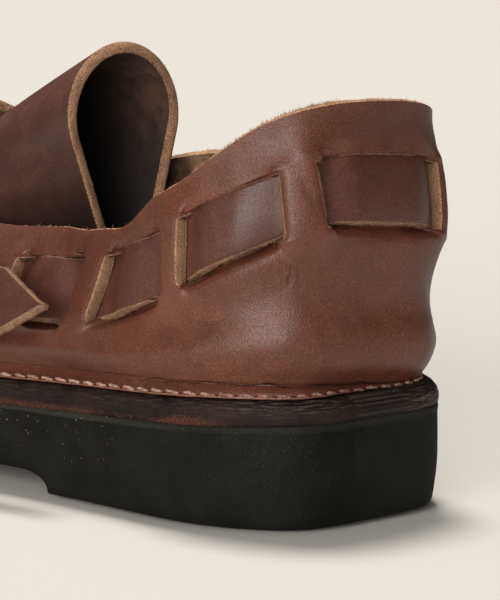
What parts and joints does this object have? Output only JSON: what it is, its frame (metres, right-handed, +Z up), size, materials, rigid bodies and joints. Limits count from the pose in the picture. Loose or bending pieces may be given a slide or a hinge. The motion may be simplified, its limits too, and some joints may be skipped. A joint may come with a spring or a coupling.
{
  "type": "strap slip-on shoe",
  "caption": "Left leather slip-on shoe with a strap woven through slots round the collar, a rolled standing tongue, a stitched-down upper and a thick notched rubber sole.",
  "frame": {"origin": "middle of the shoe's box, on the floor", "axes": "+Y from heel to toe, +X to the wearer's right (medial side of this left shoe), +Z up"},
  "size_m": [0.105, 0.2868, 0.0976],
  "materials": {
    "foam_rubber": "matte black foam rubber with fine pores",
    "sole_leather": "dark stained leather edge, scuffed and fibrous",
    "lining_leather": "plain matte leather",
    "upper_leather": "oiled reddish-brown leather, fine grain, soft sheen",
    "strap_leather": "oiled dark brown leather with raw tan edges",
    "tongue_leather": "oiled brown leather, dark suede inside, raw tan edge"
  },
  "bodies": {
    "root": {"outsole": "foam_rubber", "midsole": "sole_leather", "insole": "lining_leather", "upper": "upper_leather", "heel_strap": "strap_leather", "instep_strap": "strap_leather", "tongue": "tongue_leather"}
  },
  "joints": []
}
